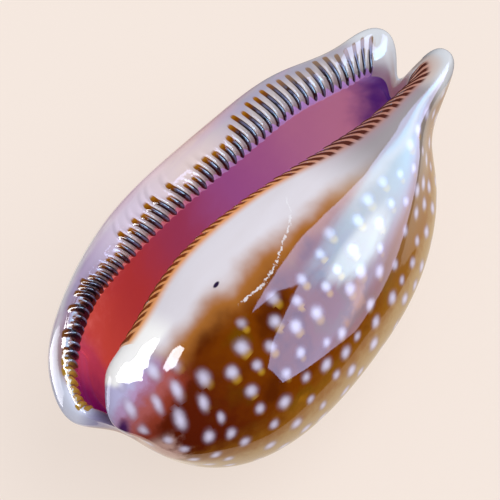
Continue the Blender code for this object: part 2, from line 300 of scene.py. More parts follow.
def shaping_rings(lap):
    """Rings that the surface follows, from the flat spot to the inside, at these laps."""
    knots = place_laps()
    margin, crest, rim = (
        closed_spline(knots, np.array([place[k] for place in MOUTH_PLACES], float), lap) for k in (1, 2, 3))
    centre = np.array(BODY_CENTRE)
    angle = np.arctan2(margin[:, 1] - centre[1], margin[:, 0] - centre[0])
    direction = np.stack([np.cos(angle), np.sin(angle)], axis=-1)
    radius = body_radius(angle)
    body = direction * radius[:, None]
    inner_body = direction * body_radius(angle, WALL)[:, None]
    spot = np.array(REST_CENTRE) + direction * np.array(REST_RADII)

    rings = [ring(spot, 0.0)]
    for phi in np.radians(DOME_ANGLES):
        rings.append(ring(centre + body * np.sin(phi) ** DOME_FULLNESS, WIDEST_HEIGHT * (1.0 - np.cos(phi))))
    rings.append(ring(centre + body, WIDEST_HEIGHT))
    rings.append(margin)
    rings += arc_rings(margin, crest, OUTSIDE_ARC)
    rings.append(crest)
    rings += reversed(arc_rings(rim, crest, RIM_ARC))
    rings.append(rim)

    at_end = smooth_step(np.abs(rim[:, 0] - NOTCH_MIDDLE_X), *NOTCH_SLOPE_START)[:, None]
    past_middle = rim[:, 1] + MOUTH_SLANT * rim[:, 0] - MOUTH_MIDDLE_Y
    outer = 0.5 + 0.5 * np.tanh(past_middle / LIP_CHANGE)
    depth = INNER_LIP_DEPTH + (OUTER_LIP_DEPTH - INNER_LIP_DEPTH) * outer
    under = (1.0 - at_end[:, 0]) * (crest[:, 2] - depth) + at_end[:, 0] * (rim[:, 2] - END_LIP_DEPTH)
    inside = ring(centre + inner_body, WIDEST_HEIGHT + INSIDE_LIFT)
    inward = (body_radius(angle, MARGIN_WALL) / radius)[:, None]
    inner_margin = ring(centre + (margin[:, :2] - centre) * inward, margin[:, 2] - INNER_MARGIN_DROP)
    inner_margin = (1.0 - at_end) * inner_margin + at_end * (rim + inside) / 2.0
    away = inner_margin - rim
    for out, down, out_at_end in UNDER_LIP_RINGS:
        part = (1.0 - at_end) * out + at_end * out_at_end
        rings.append(ring((rim + away * part)[:, :2], rim[:, 2] + (under - rim[:, 2]) * down))
    rings += reversed(arc_rings(inner_margin, rings[-1], UNDERSIDE_ARC))
    rings += [inner_margin, inside]
    for phi in np.radians(INNER_DOME_ANGLES):
        rise = (inside[0, 2] - WALL) * (1.0 - np.cos(phi))
        rings.append(ring(centre + inner_body * np.sin(phi) ** DOME_FULLNESS, WALL + rise))
    rings.append(ring(spot, WALL))
    return np.array(rings)


def along_rings(rings, row):
    """Points at one row of a smooth curve that follows the rings."""
    last = len(rings) - 1
    start = min(int(row), last - 1)
    u = row - start
    before = rings[start - 1] if start > 0 else 2.0 * rings[0] - rings[1]
    after = rings[start + 2] if start + 2 <= last else 2.0 * rings[last] - rings[last - 1]
    weights = ((1.0 - u) ** 3, 3.0 * u ** 3 - 6.0 * u ** 2 + 4.0,
               -3.0 * u ** 3 + 3.0 * u ** 2 + 3.0 * u + 1.0, u ** 3)
    points = (before, rings[start], rings[start + 1], after)
    return sum(weight * point for weight, point in zip(weights, points)) / 6.0


def lap_of(place_number):
    """The lap at a place number, with a part of the way to the next place."""
    knots = np.append(place_laps(), 1.0)
    return float(np.interp(place_number, np.arange(len(knots)), knots))


def tooth_edges(first, last, count, crowding=0.0):
    """Laps of the gaps between teeth; crowding draws them together towards the end of the row."""
    t = np.arange(count + 1) / count
    return lap_of(first) + (lap_of(last) - lap_of(first)) * (t + crowding * t * (1.0 - t))


class Columns:
    """The fine columns round the shell: their laps, the lip each is on, and its place in a tooth."""

    def __init__(self):
        outer = tooth_edges(OUTER_TEETH_FROM, OUTER_TEETH_TO, OUTER_TEETH, OUTER_TEETH_CROWDING)
        inner = tooth_edges(INNER_TEETH_FROM, INNER_TEETH_TO, INNER_TEETH)
        back = np.linspace(outer[-1], inner[0], BACK_COLUMNS + 1)
        front = np.linspace(inner[-1], outer[0] + 1.0, FRONT_COLUMNS + 1)
        edges = np.concatenate([outer[:-1], back[:-1], inner[:-1], front])
        count = len(edges) - 1
        self.laps = np.interp(np.arange(FINE * count) / FINE, np.arange(count + 1), edges)
        self.width = np.repeat(np.diff(edges), FINE)
        self.number = np.repeat(np.arange(count), FINE).astype(float)
        self.ridge = np.tile(0.5 - 0.5 * np.cos(2.0 * np.pi * np.arange(FINE) / FINE), count)
        lip = [1.0] * OUTER_TEETH + [0.0] * BACK_COLUMNS + [-1.0] * INNER_TEETH + [0.0] * FRONT_COLUMNS
        self.lip = np.repeat(lip, FINE)
        around = np.mod(self.laps, 1.0)
        rise_from, rise_to, fall_from, fall_to = (lap_of(place) for place in OUTER_LEAN_PLACES)
        fallen = smooth_step(around, fall_from, fall_to)
        self.leant = smooth_step(around, rise_from, rise_to) * (1.0 - fallen)
        self.outer = smooth_step(around, 0.0, 0.03) * (1.0 - smooth_step(around, 0.49, 0.54))

    def leaning(self, row):
        """Laps of the columns at one row, where the teeth slant."""
        fade = smooth_step(row, *LEAN_FADE_ROWS)
        inner = INNER_LEAN * max(INNER_LEAN_ROWS[1] - max(row, INNER_LEAN_ROWS[0]), 0.0)
        outer = OUTER_LEAN * max(OUTER_LEAN_ROWS[1] - max(row, OUTER_LEAN_ROWS[0]), 0.0) * self.leant
        lean = np.where(self.lip < 0.0, inner, np.where(self.lip > 0.0, outer, 0.0)) * self.width
        kernel = np.hanning(4 * FINE + 1)
        wrapped = np.concatenate([lean[-2 * FINE:], lean, lean[:2 * FINE]])
        return self.laps + fade * np.convolve(wrapped, kernel / kernel.sum(), mode="valid")


def tooth_reach(columns, row):
    """How far along its tooth each column is at this row: 0 at the outer end, 1 inside the mouth."""
    low = np.where(columns.lip > 0.0, OUTER_TOOTH_REACH[0], INNER_TOOTH_REACH[0])
    high = np.where(columns.lip > 0.0, OUTER_TOOTH_REACH[1], INNER_TOOTH_REACH[1])
    return (row - low) / (high - low)


def join_rows(low, high):
    """Faces between two rows of vertex numbers, of which one may have several times the other's columns."""
    if len(low) == len(high):
        return list(zip(low, np.roll(low, -1), np.roll(high, -1), high))
    few, many, flip = (low, high, False) if len(low) < len(high) else (high, low, True)
    ratio = len(many) // len(few)
    half = (ratio + 1) // 2
    faces = []
    for j in range(len(few)):
        k = (j + 1) % len(few)
        span = [many[(j * ratio + i) % len(many)] for i in range(ratio + 1)]
        fans = [(few[j], span[i + 1], span[i]) for i in range(half)]
        fans.append((few[j], few[k], span[half]))
        fans += [(few[k], span[i + 1], span[i]) for i in range(half, ratio)]
        faces += [face[::-1] if flip else face for face in fans]
    return faces


def shell_mesh():
    """The smooth shell before its teeth rise, with what the teeth and the colours need to know."""
    columns = Columns()
    level = shaping_rings(columns.laps)
    points, numbers, facts = [], [], []
    total = 0
    for first, last, count, in_tooth in BANDS:
        skip = FINE // in_tooth
        for row in np.linspace(first, last, count):
            rings = shaping_rings(columns.leaning(row)) if in_tooth == FINE else level[:, ::skip]
            here = along_rings(rings, row)
            points.append(here)
            numbers.append(np.arange(total, total + len(here)))
            total += len(here)
            facts.append(np.column_stack([
                np.full(len(here), row),
                columns.ridge[::skip],
                tooth_reach(columns, row)[::skip],
                columns.number[::skip],
                columns.lip[::skip],
                columns.outer[::skip],
            ]))
    faces = [numbers[0][::-1].tolist(), numbers[-1].tolist()]
    for low, high in zip(numbers, numbers[1:]):
        faces += join_rows(low, high)
    points = np.vstack(points)
    box = (points.min(axis=0) + points.max(axis=0)) / 2.0
    cad = np.array((CAD_LOW + CAD_HIGH) / 2.0) / MM
    points += (cad[0] - box[0], cad[1] - box[1], 0.0)
    mesh = bpy.data.meshes.new("cowrie")
    mesh.from_pydata((points * MM).tolist(), [], [[int(i) for i in face] for face in faces])
    facts = np.vstack(facts)
    for k, name in enumerate(("row", "tooth_ridge", "tooth_reach", "tooth_number", "lip", "outer_side")):
        mesh.attributes.new(name, "FLOAT", "POINT").data.foreach_set("value", facts[:, k].astype(np.float32))
    mesh.polygons.foreach_set("use_smooth", [True] * len(mesh.polygons))
    mesh.update()
    return mesh


# Wiring of nodes

class Wiring:
    """Adds nodes to one tree. Each call returns the new node's output, to feed into the next."""

    def __init__(self, tree):
        self.tree = tree

    def add(self, kind, inputs=None, output=0, **settings):
        node = self.tree.nodes.new(kind)
        for name, value in settings.items():
            setattr(node, name, value)
        for name, value in (inputs or {}).items():
            if isinstance(value, bpy.types.NodeSocket):
                self.tree.links.new(value, node.inputs[name])
            else:
                node.inputs[name].default_value = value
        return node.outputs[output]

    def math(self, operation, a, b=0.0, c=0.0):
        return self.add("ShaderNodeMath", {0: a, 1: b, 2: c}, operation=operation)

    def vector(self, operation, a, b=(0.0, 0.0, 0.0), output=0):
        return self.add("ShaderNodeVectorMath", {0: a, 1: b}, output, operation=operation)

    def step(self, value, low, high):
        """0 at low, 1 at high, with a soft change between; high may be the smaller."""
        inputs = {"Value": value, "From Min": low, "From Max": high}
        return self.add("ShaderNodeMapRange", inputs, interpolation_type="SMOOTHSTEP")

    def both(self, *parts):
        """The product of several masks."""
        result = parts[0]
        for part in parts[1:]:
            result = self.math("MULTIPLY", result, part)
        return result

    def plus(self, a, b):
        return self.math("ADD", a, b)

    def minus(self, a, b):
        return self.math("SUBTRACT", a, b)

    def inverse(self, mask):
        return self.minus(1.0, mask)

    def blend(self, factor, a, b):
        """Colour a where the factor is 0 and colour b where it is 1."""
        return self.add("ShaderNodeMix", {0: factor, 6: a, 7: b}, 2, data_type="RGBA")

    def between(self, factor, a, b):
        """Number a where the factor is 0 and number b where it is 1."""
        return self.add("ShaderNodeMix", {0: factor, 2: a, 3: b}, 0, data_type="FLOAT")

    def noise(self, place, scale, detail=3.0, roughness=0.5, stretch=None):
        """Uneven patches, about 0.5, with features of about 1 / scale."""
        if stretch:
            place = self.vector("MULTIPLY", place, stretch)
        inputs = {"Vector": place, "Scale": scale, "Detail": detail, "Roughness": roughness}
        return self.add("ShaderNodeTexNoise", inputs)

    def ramp(self, value, stops, smooth=True):
        """Colours along a value from 0 to 1."""
        node = self.add("ShaderNodeValToRGB", {0: value}).node
        band = node.color_ramp
        band.interpolation = "EASE" if smooth else "LINEAR"
        while len(band.elements) < len(stops):
            band.elements.new(1.0)
        for element, (place, colour) in zip(band.elements, stops):
            element.position = place
            element.color = colour
        return node.outputs[0]

    def curve(self, value, stops, low, high):
        """A number that follows a smooth curve through given places; low and high bound both axes."""
        spread = self.add("ShaderNodeMapRange", {"Value": value, "From Min": low, "From Max": high})
        node = self.add("ShaderNodeFloatCurve", {"Value": spread}).node
        points = node.mapping.curves[0].points
        while len(points) < len(stops):
            points.new(0.5, 0.5)
        for point, (at, number) in zip(points, stops):
            point.location = ((at - low) / (high - low), (number - low) / (high - low))
        node.mapping.update()
        back = {"Value": node.outputs[0], "To Min": low, "To Max": high}
        return self.add("ShaderNodeMapRange", back)


def new_geometry_tree(name, inputs):
    """An empty tree for a Geometry Nodes modifier, with its named inputs: name, kind and default."""
    tree = bpy.data.node_groups.new(name, "GeometryNodeTree")
    tree.interface.new_socket("Geometry", in_out="INPUT", socket_type="NodeSocketGeometry")
    for label, kind, default in inputs:
        socket = tree.interface.new_socket(label, in_out="INPUT", socket_type=kind)
        socket.default_value = default
    tree.interface.new_socket("Geometry", in_out="OUTPUT", socket_type="NodeSocketGeometry")
    wire = Wiring(tree)
    start = tree.nodes.new("NodeGroupInput")
    return tree, wire, start


def finish_geometry_tree(tree, wire, geometry, material):
    """Realizes what was made, gives it its material and sends it out."""
    geometry = wire.add("GeometryNodeRealizeInstances", {"Geometry": geometry})
    geometry = wire.add("GeometryNodeSetMaterial", {"Geometry": geometry, "Material": material})
    end = tree.nodes.new("NodeGroupOutput")
    tree.links.new(geometry, end.inputs["Geometry"])


def add_modifier(piece, tree, values):
    """Puts a tree on a piece and sets its inputs by their sockets' identifiers."""
    modifier = piece.modifiers.new(tree.name, "NODES")
    modifier.node_group = tree
    for socket in tree.interface.items_tree:
        if socket.in_out == "INPUT" and socket.name in values:
            modifier[socket.identifier] = values[socket.name]
    return modifier


def fact(wire, name, kind="FLOAT"):
    """A named fact of the mesh, inside a Geometry Nodes tree."""
    return wire.add("GeometryNodeInputNamedAttribute", {"Name": name}, data_type=kind)


def teeth_tree(material):
    """Raises the teeth of both lips out of the smooth surface, each a little different."""
    tree, wire, start = new_geometry_tree("Lip teeth", (
        ("Outer Height", "NodeSocketFloat", 0.001),
        ("Inner Height", "NodeSocketFloat", 0.0005),
        ("Unevenness", "NodeSocketFloat", 0.3),
        ("Seed", "NodeSocketInt", 3),
    ))
    number = fact(wire, "tooth_number")
    chance = wire.add("FunctionNodeRandomValue", {
        "ID": wire.add("FunctionNodeFloatToInt", {0: number}), "Seed": start.outputs["Seed"]}, 1)
    lip = fact(wire, "lip")
    outer = wire.math("GREATER_THAN", lip, 0.5)
    inner = wire.math("LESS_THAN", lip, -0.5)
    height = wire.plus(wire.both(outer, start.outputs["Outer Height"]),
                       wire.both(inner, start.outputs["Inner Height"]))
    x = wire.add("ShaderNodeSeparateXYZ", {0: wire.add("GeometryNodeInputPosition")})
    foot = wire.step(x, FOOT_TEETH_FROM * MM, FOOT_TEETH_TO * MM)
    height = wire.both(height, wire.between(foot, 1.0, FOOT_TOOTH_HEIGHT))
    reach = fact(wire, "tooth_reach")
    late = wire.both(chance, start.outputs["Unevenness"])
    late_reach = wire.math("DIVIDE", wire.minus(reach, late), wire.minus(1.0, late))
    inside = wire.add("ShaderNodeClamp", {0: late_reach})
    swell = wire.math("SINE", wire.both(wire.math("POWER", inside, 1.4), math.pi))
    swell = wire.math("POWER", wire.math("MAXIMUM", swell, 0.0), 0.85)
    ridge = wire.math("POWER", fact(wire, "tooth_ridge"), 0.8)
    lift = wire.both(height, swell, ridge)
    offset = wire.vector("SCALE", wire.add("GeometryNodeInputNormal"))
    tree.links.new(lift, offset.node.inputs["Scale"])
    raised = wire.add("GeometryNodeSetPosition", {"Geometry": start.outputs["Geometry"], "Offset": offset})
    stored = wire.add("GeometryNodeStoreNamedAttribute", {
        "Geometry": raised, "Name": "tooth_chance", "Value": chance}, data_type="FLOAT", domain="POINT")
    finish_geometry_tree(tree, wire, stored, material)
    return tree


def spots_tree(material):
    """Strews spots over the body, and tells each small face which spot is nearest."""
    tree, wire, start = new_geometry_tree("Body spots", (
        ("Spacing", "NodeSocketFloat", 0.0045),
        ("Seed", "NodeSocketInt", 5),
    ))
    row = fact(wire, "row")
    place = wire.add("GeometryNodeInputPosition")
    x = wire.add("ShaderNodeSeparateXYZ", {0: place})
    at_end = wire.math("LESS_THAN", x, SPOTTED_END * MM)
    inner_highest = wire.between(at_end, INNER_SPOTTED_ROW, END_SPOTTED_ROW)
    highest = wire.between(fact(wire, "outer_side"), inner_highest, OUTER_SPOTTED_ROW)
    spotted = wire.math("LESS_THAN", row, highest)
    strewn = wire.add("GeometryNodeDistributePointsOnFaces", {
        "Mesh": start.outputs["Geometry"], "Selection": spotted,
        "Distance Min": start.outputs["Spacing"], "Density Max": SPOTS_DENSEST,
        "Seed": start.outputs["Seed"],
    }, distribute_method="POISSON")
    nearest = wire.add("GeometryNodeSampleNearest", {"Geometry": strewn})
    centre = wire.add("GeometryNodeSampleIndex", {
        "Geometry": strewn, "Value": place, "Index": nearest}, data_type="FLOAT_VECTOR")
    chance = wire.add("FunctionNodeRandomValue", {"ID": nearest, "Seed": start.outputs["Seed"]}, 1)
    geometry = start.outputs["Geometry"]
    for name, value, kind in (("spot_centre", centre, "FLOAT_VECTOR"), ("spot_chance", chance, "FLOAT")):
        geometry = wire.add("GeometryNodeStoreNamedAttribute", {
            "Geometry": geometry, "Name": name, "Value": value}, data_type=kind, domain="FACE")
    finish_geometry_tree(tree, wire, geometry, material)
    return tree


# Colours

class EnamelColours:
    """The shell's colours, mixed place by place. Lengths here are millimetres."""

    def __init__(self, wire, looks):
        self.wire = wire
        self.looks = looks
        place = wire.add("ShaderNodeTexCoord", output=3)
        self.place = wire.add("ShaderNodeVectorMath", {0: place, "Scale": 1.0 / MM}, operation="SCALE")
        parts = wire.add("ShaderNodeSeparateXYZ", {0: self.place}).node.outputs
        self.x, self.y, self.z = parts[0], parts[1], parts[2]
        for name in ("row", "tooth_ridge", "tooth_reach", "tooth_chance", "lip", "outer_side",
                     "spot_chance"):
            setattr(self, name, self.fact(name))
        self.spot_centre = self.fact("spot_centre", 1)
        self.cloud = wire.noise(self.place, 0.11, 3.0)
        self.grain = wire.noise(self.place, 0.5, 4.0)
        self.streak = wire.noise(self.place, 0.35, 3.0, stretch=(0.25, 1.0, 1.0))

    def fact(self, name, output=2):
        return self.wire.add("ShaderNodeAttribute", output=output, attribute_name=name)

    def sway(self, noise, reach):
        """An uneven shift about 0, up to half the reach either way."""
        return self.wire.both(self.wire.minus(noise, 0.5), reach)

    def body(self):
        """Glossy browns: darker and redder to the back, paler and greyer to the front, tan at the foot."""
        w, looks = self.wire, self.looks
        tone = w.ramp(self.cloud, (
            (0.30, looks.deep_brown), (0.48, looks.chestnut), (0.62, looks.olive), (0.74, looks.gold)))
        back = w.step(w.plus(self.x, w.both(self.grain, 8.0)), -22.0, -40.0)
        tone = w.blend(back, tone, looks.red_brown)
        front = w.step(w.plus(self.x, w.both(self.cloud, 10.0)), 2.0, 24.0)
        tone = w.blend(w.both(front, 0.85), tone, looks.front_tan)
        stone = w.step(w.plus(self.x, w.both(self.cloud, 10.0)), 18.0, 36.0)
        tone = w.blend(w.both(stone, w.step(self.row, 6.3, 7.3)), tone, looks.front_stone)
        low = w.plus(self.row, w.both(self.grain, 0.6))
        tone = w.blend(w.both(w.step(low, 6.9, 6.0), 0.85), tone, looks.flank_gold)
        return w.blend(w.step(low, 6.2, 5.4), tone, looks.flank_tan)

    def with_spots(self, ground):
        """White spots with a soft edge, and the fainter yellow ones that lie deeper, off to one side."""
        w, looks = self.wire, self.looks
        radius = w.between(self.spot_chance, looks.spot_radius * 0.75, looks.spot_radius * 1.15)
        centre = w.add("ShaderNodeVectorMath", {0: self.spot_centre, "Scale": 1.0 / MM}, operation="SCALE")
        wobble = self.sway(self.grain, 0.7)
        off = w.vector("SUBTRACT", self.place, centre)
        along = w.vector("DOT_PRODUCT", off, looks.spot_slant, output=1)
        drawn_out = w.both(w.step(self.x, -32.0, -44.0), along, along, 0.8)
        away = w.math("SQRT", w.minus(w.vector("DOT_PRODUCT", off, off, output=1), drawn_out))
        away = w.plus(w.both(away, w.between(w.step(self.x, -32.0, -44.0), 1.0, 1.2)), wobble)
        deep_centre = w.vector("ADD", centre, looks.deep_spot_shift)
        deep_away = w.vector("DISTANCE", self.place, deep_centre, output=1)
        deep = w.step(deep_away, w.both(radius, 1.2), w.both(radius, 0.3))
        yellow = w.both(w.step(self.x, -46.0, -30.0), 0.7)
        ground = w.blend(w.both(deep, yellow), ground, looks.deep_spot)
        halo = w.step(away, w.both(radius, 1.8), w.both(radius, 0.7))
        ground = w.blend(w.both(halo, 0.4), ground, looks.spot_halo)
        core = w.step(away, w.both(radius, 1.35), w.both(radius, 0.1))
        faint = w.between(w.both(w.step(self.row, 7.7, 8.3), w.step(self.x, -41.0, -36.0)), 0.92, 0.6)
        faint = w.both(faint, w.between(self.spot_chance, 0.75, 1.0))
        return w.blend(w.both(core, faint), ground, looks.spot)

    def back_end(self, ground):
        """Lavender, mauve, then red over the back end of the inner lip, and a dark purple corner that is
        painted shade in the hollow there.
        """
        w, looks = self.wire, self.looks
        edge = w.plus(self.x, w.both(self.grain, 5.0))
        inner = w.inverse(self.outer_side)
        drift = self.sway(self.grain, 3.0)
        across = w.math("DIVIDE", w.minus(2.0, w.plus(self.y, drift)), 12.0)
        tone = w.ramp(across, ((0.10, looks.lavender), (0.28, looks.lilac), (0.40, looks.mauve),
                               (0.55, looks.rose_red), (0.75, looks.brick), (0.95, looks.red_brown)))
        amount = w.both(w.step(edge, -33.0, -39.0), w.step(self.y, -10.5, -7.5), inner,
                        w.step(self.row, 6.6, 7.4))
        ground = w.blend(amount, ground, tone)
        # Painted shade: dark purple in the hollow at the back corner, where the surface curves in.
        corner = w.vector("SUBTRACT", self.place, looks.shade_corner)
        corner = w.vector("MULTIPLY", corner, (0.6, 0.75, 0.32))
        dark = w.step(w.plus(w.vector("LENGTH", corner, output=1), w.both(self.grain, 0.5)),
                      1.55, 0.5)
        ground = w.blend(w.both(dark, inner), ground, looks.end_shade_purple)
        low = w.both(w.step(edge, -45.0, -48.0), w.step(self.row, 7.5, 6.9), inner)
        return w.blend(low, ground, looks.end_pink)

    def callus(self, ground):
        """The cream enamel that covers the inner lip, with its tan border, and a painted highlight of pure
        white at its back end.
        """
        w, looks = self.wire, self.looks
        uneven = self.sway(self.cloud, looks.border_wave)
        forward_of_end = w.both(w.inverse(self.outer_side), w.step(self.x, -41.0, -36.0))
        height = w.plus(w.minus(self.row, w.curve(self.x, looks.border_rows, -60.0, 60.0)), uneven)
        tan = w.both(w.step(height, -0.42, 0.1), forward_of_end)
        beige = w.blend(w.step(self.x, 2.0, 20.0), looks.border_tan, looks.border_beige)
        ground = w.blend(tan, ground, beige)
        streak = self.sway(self.streak, 0.8)
        cream = w.blend(w.plus(0.5, streak), looks.cream_low, looks.cream_high)
        ground = w.blend(w.both(w.step(height, 0.0, 0.62), forward_of_end), ground, cream)
        front = w.both(w.step(self.x, 8.0, 26.0), forward_of_end, w.step(height, -0.3, 0.3))
        grey = w.blend(w.step(self.row, 9.1, 9.7), looks.front_grey, looks.front_rose)
        ground = w.blend(w.both(front, 0.9), ground, grey)
        # Painted highlight: the cream is painted pure white at the back end of the inner lip, where a
        # window's reflection falls.
        back = w.both(w.step(self.x, -30.0, -36.0), w.step(self.x, -49.5, -48.0), w.step(self.row, 9.2, 9.5),
                      w.step(self.y, -3.0, -0.5), w.inverse(self.outer_side))
        return w.blend(w.both(back, 0.95), ground, looks.back_highlight_white)

    def outer_lip(self, ground):
        """Pink and lavender cream over the outer lip, down to its margin."""
        w, looks = self.wire, self.looks
        height = w.plus(self.row, self.sway(self.cloud, 0.8))
        along = w.math("DIVIDE", w.plus(self.x, 56.0), 110.0)
        low = w.ramp(along, ((0.05, looks.rim_blue), (0.25, looks.rim_white), (0.42, looks.rim_pink),
                             (0.62, looks.rim_rose), (0.78, looks.rim_grey), (0.92, looks.rim_cream)))
        top = w.ramp(along, ((0.05, looks.top_mauve), (0.20, looks.top_violet), (0.36, looks.top_pink),
                             (0.52, looks.top_cream), (0.70, looks.top_lilac), (0.90, looks.top_grey)))
        tone = w.blend(w.step(height, 7.9, 9.0), low, top)
        mauve = w.both(w.step(self.streak, 0.45, 0.62), w.step(self.row, 9.6, 8.2))
        tone = w.blend(w.both(mauve, 0.4), tone, looks.lip_mauve)
        smudge = w.both(w.step(self.x, -26.0, -40.0), w.step(self.row, 8.9, 9.7))
        tone = w.blend(w.both(smudge, 0.6), tone, looks.lip_smudge)
        return w.blend(w.both(w.step(height, 5.9, 7.0), self.outer_side), ground, tone)

    def ends(self, ground):
        """Bluish white on the two horns and round the notches at both ends."""
        w, looks = self.wire, self.looks
        front = w.both(w.step(self.x, 42.0, 49.0), w.step(self.row, 6.2, 7.2))
        ground = w.blend(front, ground, looks.horn_white)
        facet = w.both(w.step(self.x, 42.0, 47.0), w.step(self.row, 8.9, 9.6), w.inverse(self.outer_side))
        ground = w.blend(w.both(facet, 0.8), ground, looks.horn_pink)
        foot = w.both(w.step(self.x, -50.0, -53.5), w.step(self.row, 6.0, 6.8), self.outer_side)
        tone = w.blend(w.step(self.y, 7.0, 3.0), looks.foot_blue, looks.foot_deep)
        return w.blend(foot, ground, tone)

    def teeth(self, ground):
        """Ochre at their outer ends, then brown and black, with a painted glint along the crests; the
        grooves between stay pale to the front, and at the back they are painted dark as painted shade.
        """
        w, looks = self.wire, self.looks
        outer = w.step(self.lip, 0.5, 0.9)
        inner = w.step(self.lip, -0.5, -0.9)
        backward = w.step(self.x, -20.0, -36.0)
        forward = w.step(self.x, 0.0, 22.0)
        foot = w.step(self.x, -46.0, -50.0)

        late = w.both(w.both(w.inverse(backward), w.inverse(forward)), 0.11)
        late = w.plus(late, w.both(w.inverse(foot), 0.06))
        start = w.plus(late, w.both(self.tooth_chance, w.between(forward, 0.2, 0.1)))
        start = w.minus(start, w.both(forward, 0.06))
        reach = w.minus(self.tooth_reach, start)
        groove = w.both(w.step(reach, 0.02, 0.22), outer)
        # Painted shade: the grooves between the back teeth are painted dark; to the front they stay pale,
        # and at the foot they are brown.
        groove_tone = w.blend(backward, looks.groove_pale, looks.groove_shade)
        groove_tone = w.blend(foot, groove_tone, looks.foot_brown)
        ground = w.blend(w.both(groove, 0.9), ground, groove_tone)
        brink = w.both(w.step(self.tooth_reach, 0.80, 0.90), outer, w.between(forward, 0.85, 0.25))
        ground = w.blend(brink, ground, looks.tooth_black)

        narrow = w.step(reach, 0.07, 0.0)
        edge = w.plus(w.between(backward, 0.36, 0.08), w.both(narrow, 0.35))
        edge = w.plus(edge, w.both(forward, 0.2))
        side = w.step(w.minus(self.tooth_ridge, edge), -0.10, 0.10)
        dark = w.both(side, w.step(reach, 0.0, 0.05), outer)
        tone = w.ramp(reach, (
            (0.05, looks.tooth_ochre), (0.11, looks.tooth_orange), (0.18, looks.tooth_brown),
            (0.30, looks.tooth_slate), (0.62, looks.tooth_black)))
        dull = w.both(w.step(self.x, 22.0, 34.0), w.step(reach, 0.26, 0.12))
        tone = w.blend(w.both(dull, 0.7), tone, looks.tooth_dull)
        smoky = w.both(backward, w.step(reach, 0.22, 0.08))
        tone = w.blend(w.both(smoky, 0.7), tone, looks.tooth_smoky)
        tone = w.blend(foot, tone, looks.foot_gold)
        # Painted highlight: a bluish glint painted along the crests of the outer teeth, broken up by the
        # grain.
        crest = w.both(w.step(self.tooth_ridge, 0.76, 0.96), w.step(reach, 0.12, 0.22),
                       w.step(self.tooth_reach, 0.84, 0.70), w.step(self.grain, 0.34, 0.50), w.inverse(foot))
        tone = w.blend(w.both(crest, 0.7), tone, looks.tooth_glint)
        ground = w.blend(dark, ground, tone)

        orange_from = w.between(forward, 0.07, -0.08)
        strip = w.both(w.step(w.minus(self.tooth_reach, orange_from), 0.0, 0.16),
                       w.step(self.x, -44.0, -38.0), inner)
        strip_tone = w.blend(forward, looks.inner_orange, looks.inner_rose)
        ground = w.blend(w.both(strip, 0.85), ground, strip_tone)
        side = w.step(self.tooth_ridge, 0.22, 0.50)
        start = w.plus(w.between(forward, 0.17, -0.05), w.both(self.tooth_chance, 0.06))
        dash = w.both(side, w.step(w.minus(self.tooth_reach, start), 0.0, 0.07), inner)
        dash_tone = w.blend(forward, looks.inner_brown, looks.inner_dark)
        return w.blend(w.both(dash, 0.95), ground, dash_tone)

    def mouth_edge(self):
        """The row where the mouth's colour starts, which is a little further in on each tooth."""
        w, looks = self.wire, self.looks
        outer = w.curve(self.x, looks.outer_edge_rows, -60.0, 60.0)
        inner = w.curve(self.x, looks.inner_edge_rows, -60.0, 60.0)
        inner = w.between(w.step(self.lip, -0.2, -0.8), END_EDGE_ROW, inner)
        row = w.between(w.step(self.lip, 0.2, 0.8), inner, outer)
        return w.plus(row, w.both(self.tooth_ridge, w.both(w.math("ABSOLUTE", self.lip), 0.5)))

    def mouth_tone(self):
        """Coral to crimson, mauve and violet along the inside; paler close to the outer teeth, which is
        painted light on the wall just inside the opening.
        """
        w, looks = self.wire, self.looks
        drift = self.sway(self.cloud, 9.0)
        along = w.math("DIVIDE", w.plus(w.plus(self.x, drift), 56.0), 110.0)
        deep = w.ramp(along, (
            (0.07, looks.mouth_plum), (0.13, looks.mouth_rose), (0.20, looks.mouth_coral),
            (0.34, looks.mouth_red), (0.50, looks.mouth_crimson), (0.64, looks.mouth_mauve),
            (0.88, looks.mouth_pink), (0.94, looks.mouth_violet)))
        # Painted light: the wall close to the outer teeth is paler, as if lit through the opening.
        pale = w.ramp(along, (
            (0.06, looks.mouth_plum), (0.13, looks.mouth_rose), (0.20, looks.wall_salmon),
            (0.42, looks.wall_rose), (0.58, looks.wall_lilac), (0.87, looks.wall_lilac),
            (0.94, looks.mouth_violet)))
        height = w.plus(self.row, self.sway(self.grain, 3.0))
        return w.blend(w.both(w.step(height, 18.0, 13.6), self.outer_side), deep, pale)

    def marks(self, ground):
        """Small damage on the enamel: a chipped hairline and a dark fleck."""
        w, looks = self.wire, self.looks
        top = w.both(w.step(self.row, 8.0, 8.3), w.step(self.row, 11.0, 10.5), w.inverse(self.outer_side))
        line = w.curve(self.x, looks.hairline, -30.0, 30.0)
        wander = self.sway(w.noise(self.place, 1.1, 4.0), 1.6)
        off = w.math("ABSOLUTE", w.plus(w.minus(self.y, line), wander))
        ends = w.both(w.step(self.x, -22.0, -20.0), w.step(self.x, 4.0, 3.0))
        broken = w.step(w.noise(self.place, 1.6, 2.0), 0.38, 0.52)
        chip = w.both(w.step(off, 0.34, 0.12), ends, broken, top)
        ground = w.blend(w.both(chip, 0.8), ground, looks.chip_white)
        fleck = w.vector("MULTIPLY", w.vector("SUBTRACT", self.place, looks.fleck), (0.8, 1.6, 0.5))
        hole = w.step(w.plus(w.vector("LENGTH", fleck, output=1),
                             w.both(self.grain, 0.6)), 1.15, 0.75)
        return w.blend(w.both(hole, top), ground, looks.fleck_dark)


